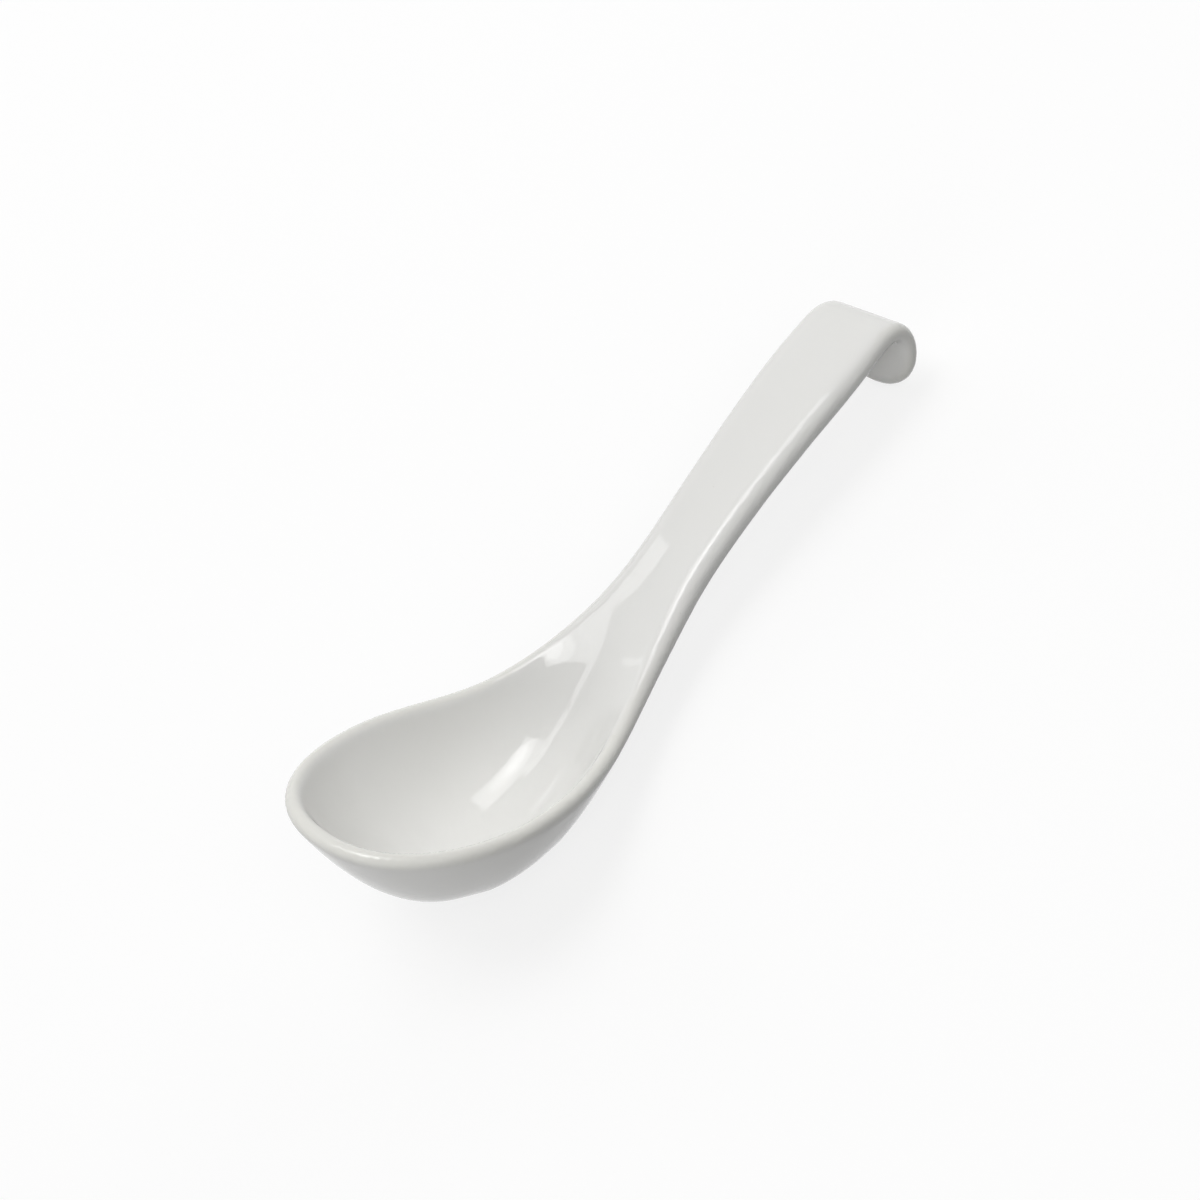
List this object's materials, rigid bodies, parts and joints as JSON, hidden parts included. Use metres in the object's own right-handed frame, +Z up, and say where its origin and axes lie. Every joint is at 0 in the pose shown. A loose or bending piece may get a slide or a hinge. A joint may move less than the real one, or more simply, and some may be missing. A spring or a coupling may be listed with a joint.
{
  "type": "chinese soup spoon",
  "caption": "Deep-bowled ceramic soup spoon with a flared handle that ends in a short hook, glazed all over but for a bare flat foot under the bowl.",
  "frame": {"origin": "centre of the bare flat foot under the bowl, on the table plane", "axes": "+X level along the spoon from the bowl's front to the hook, +Y to the spoon's side across its plane of symmetry, +Z up, as the spoon lies at rest on its foot and the tip of its hook"},
  "size_m": [0.1665, 0.0538, 0.0446],
  "materials": {
    "porcelain_body": "fired clay, matt and slightly rough where it is bare at the foot",
    "glaze_coat": "smooth glossy white glaze, a little warmer where it thins on the rim"
  },
  "bodies": {
    "root": {"porcelain_body": "porcelain_body", "glaze_coat": "glaze_coat"}
  },
  "joints": []
}
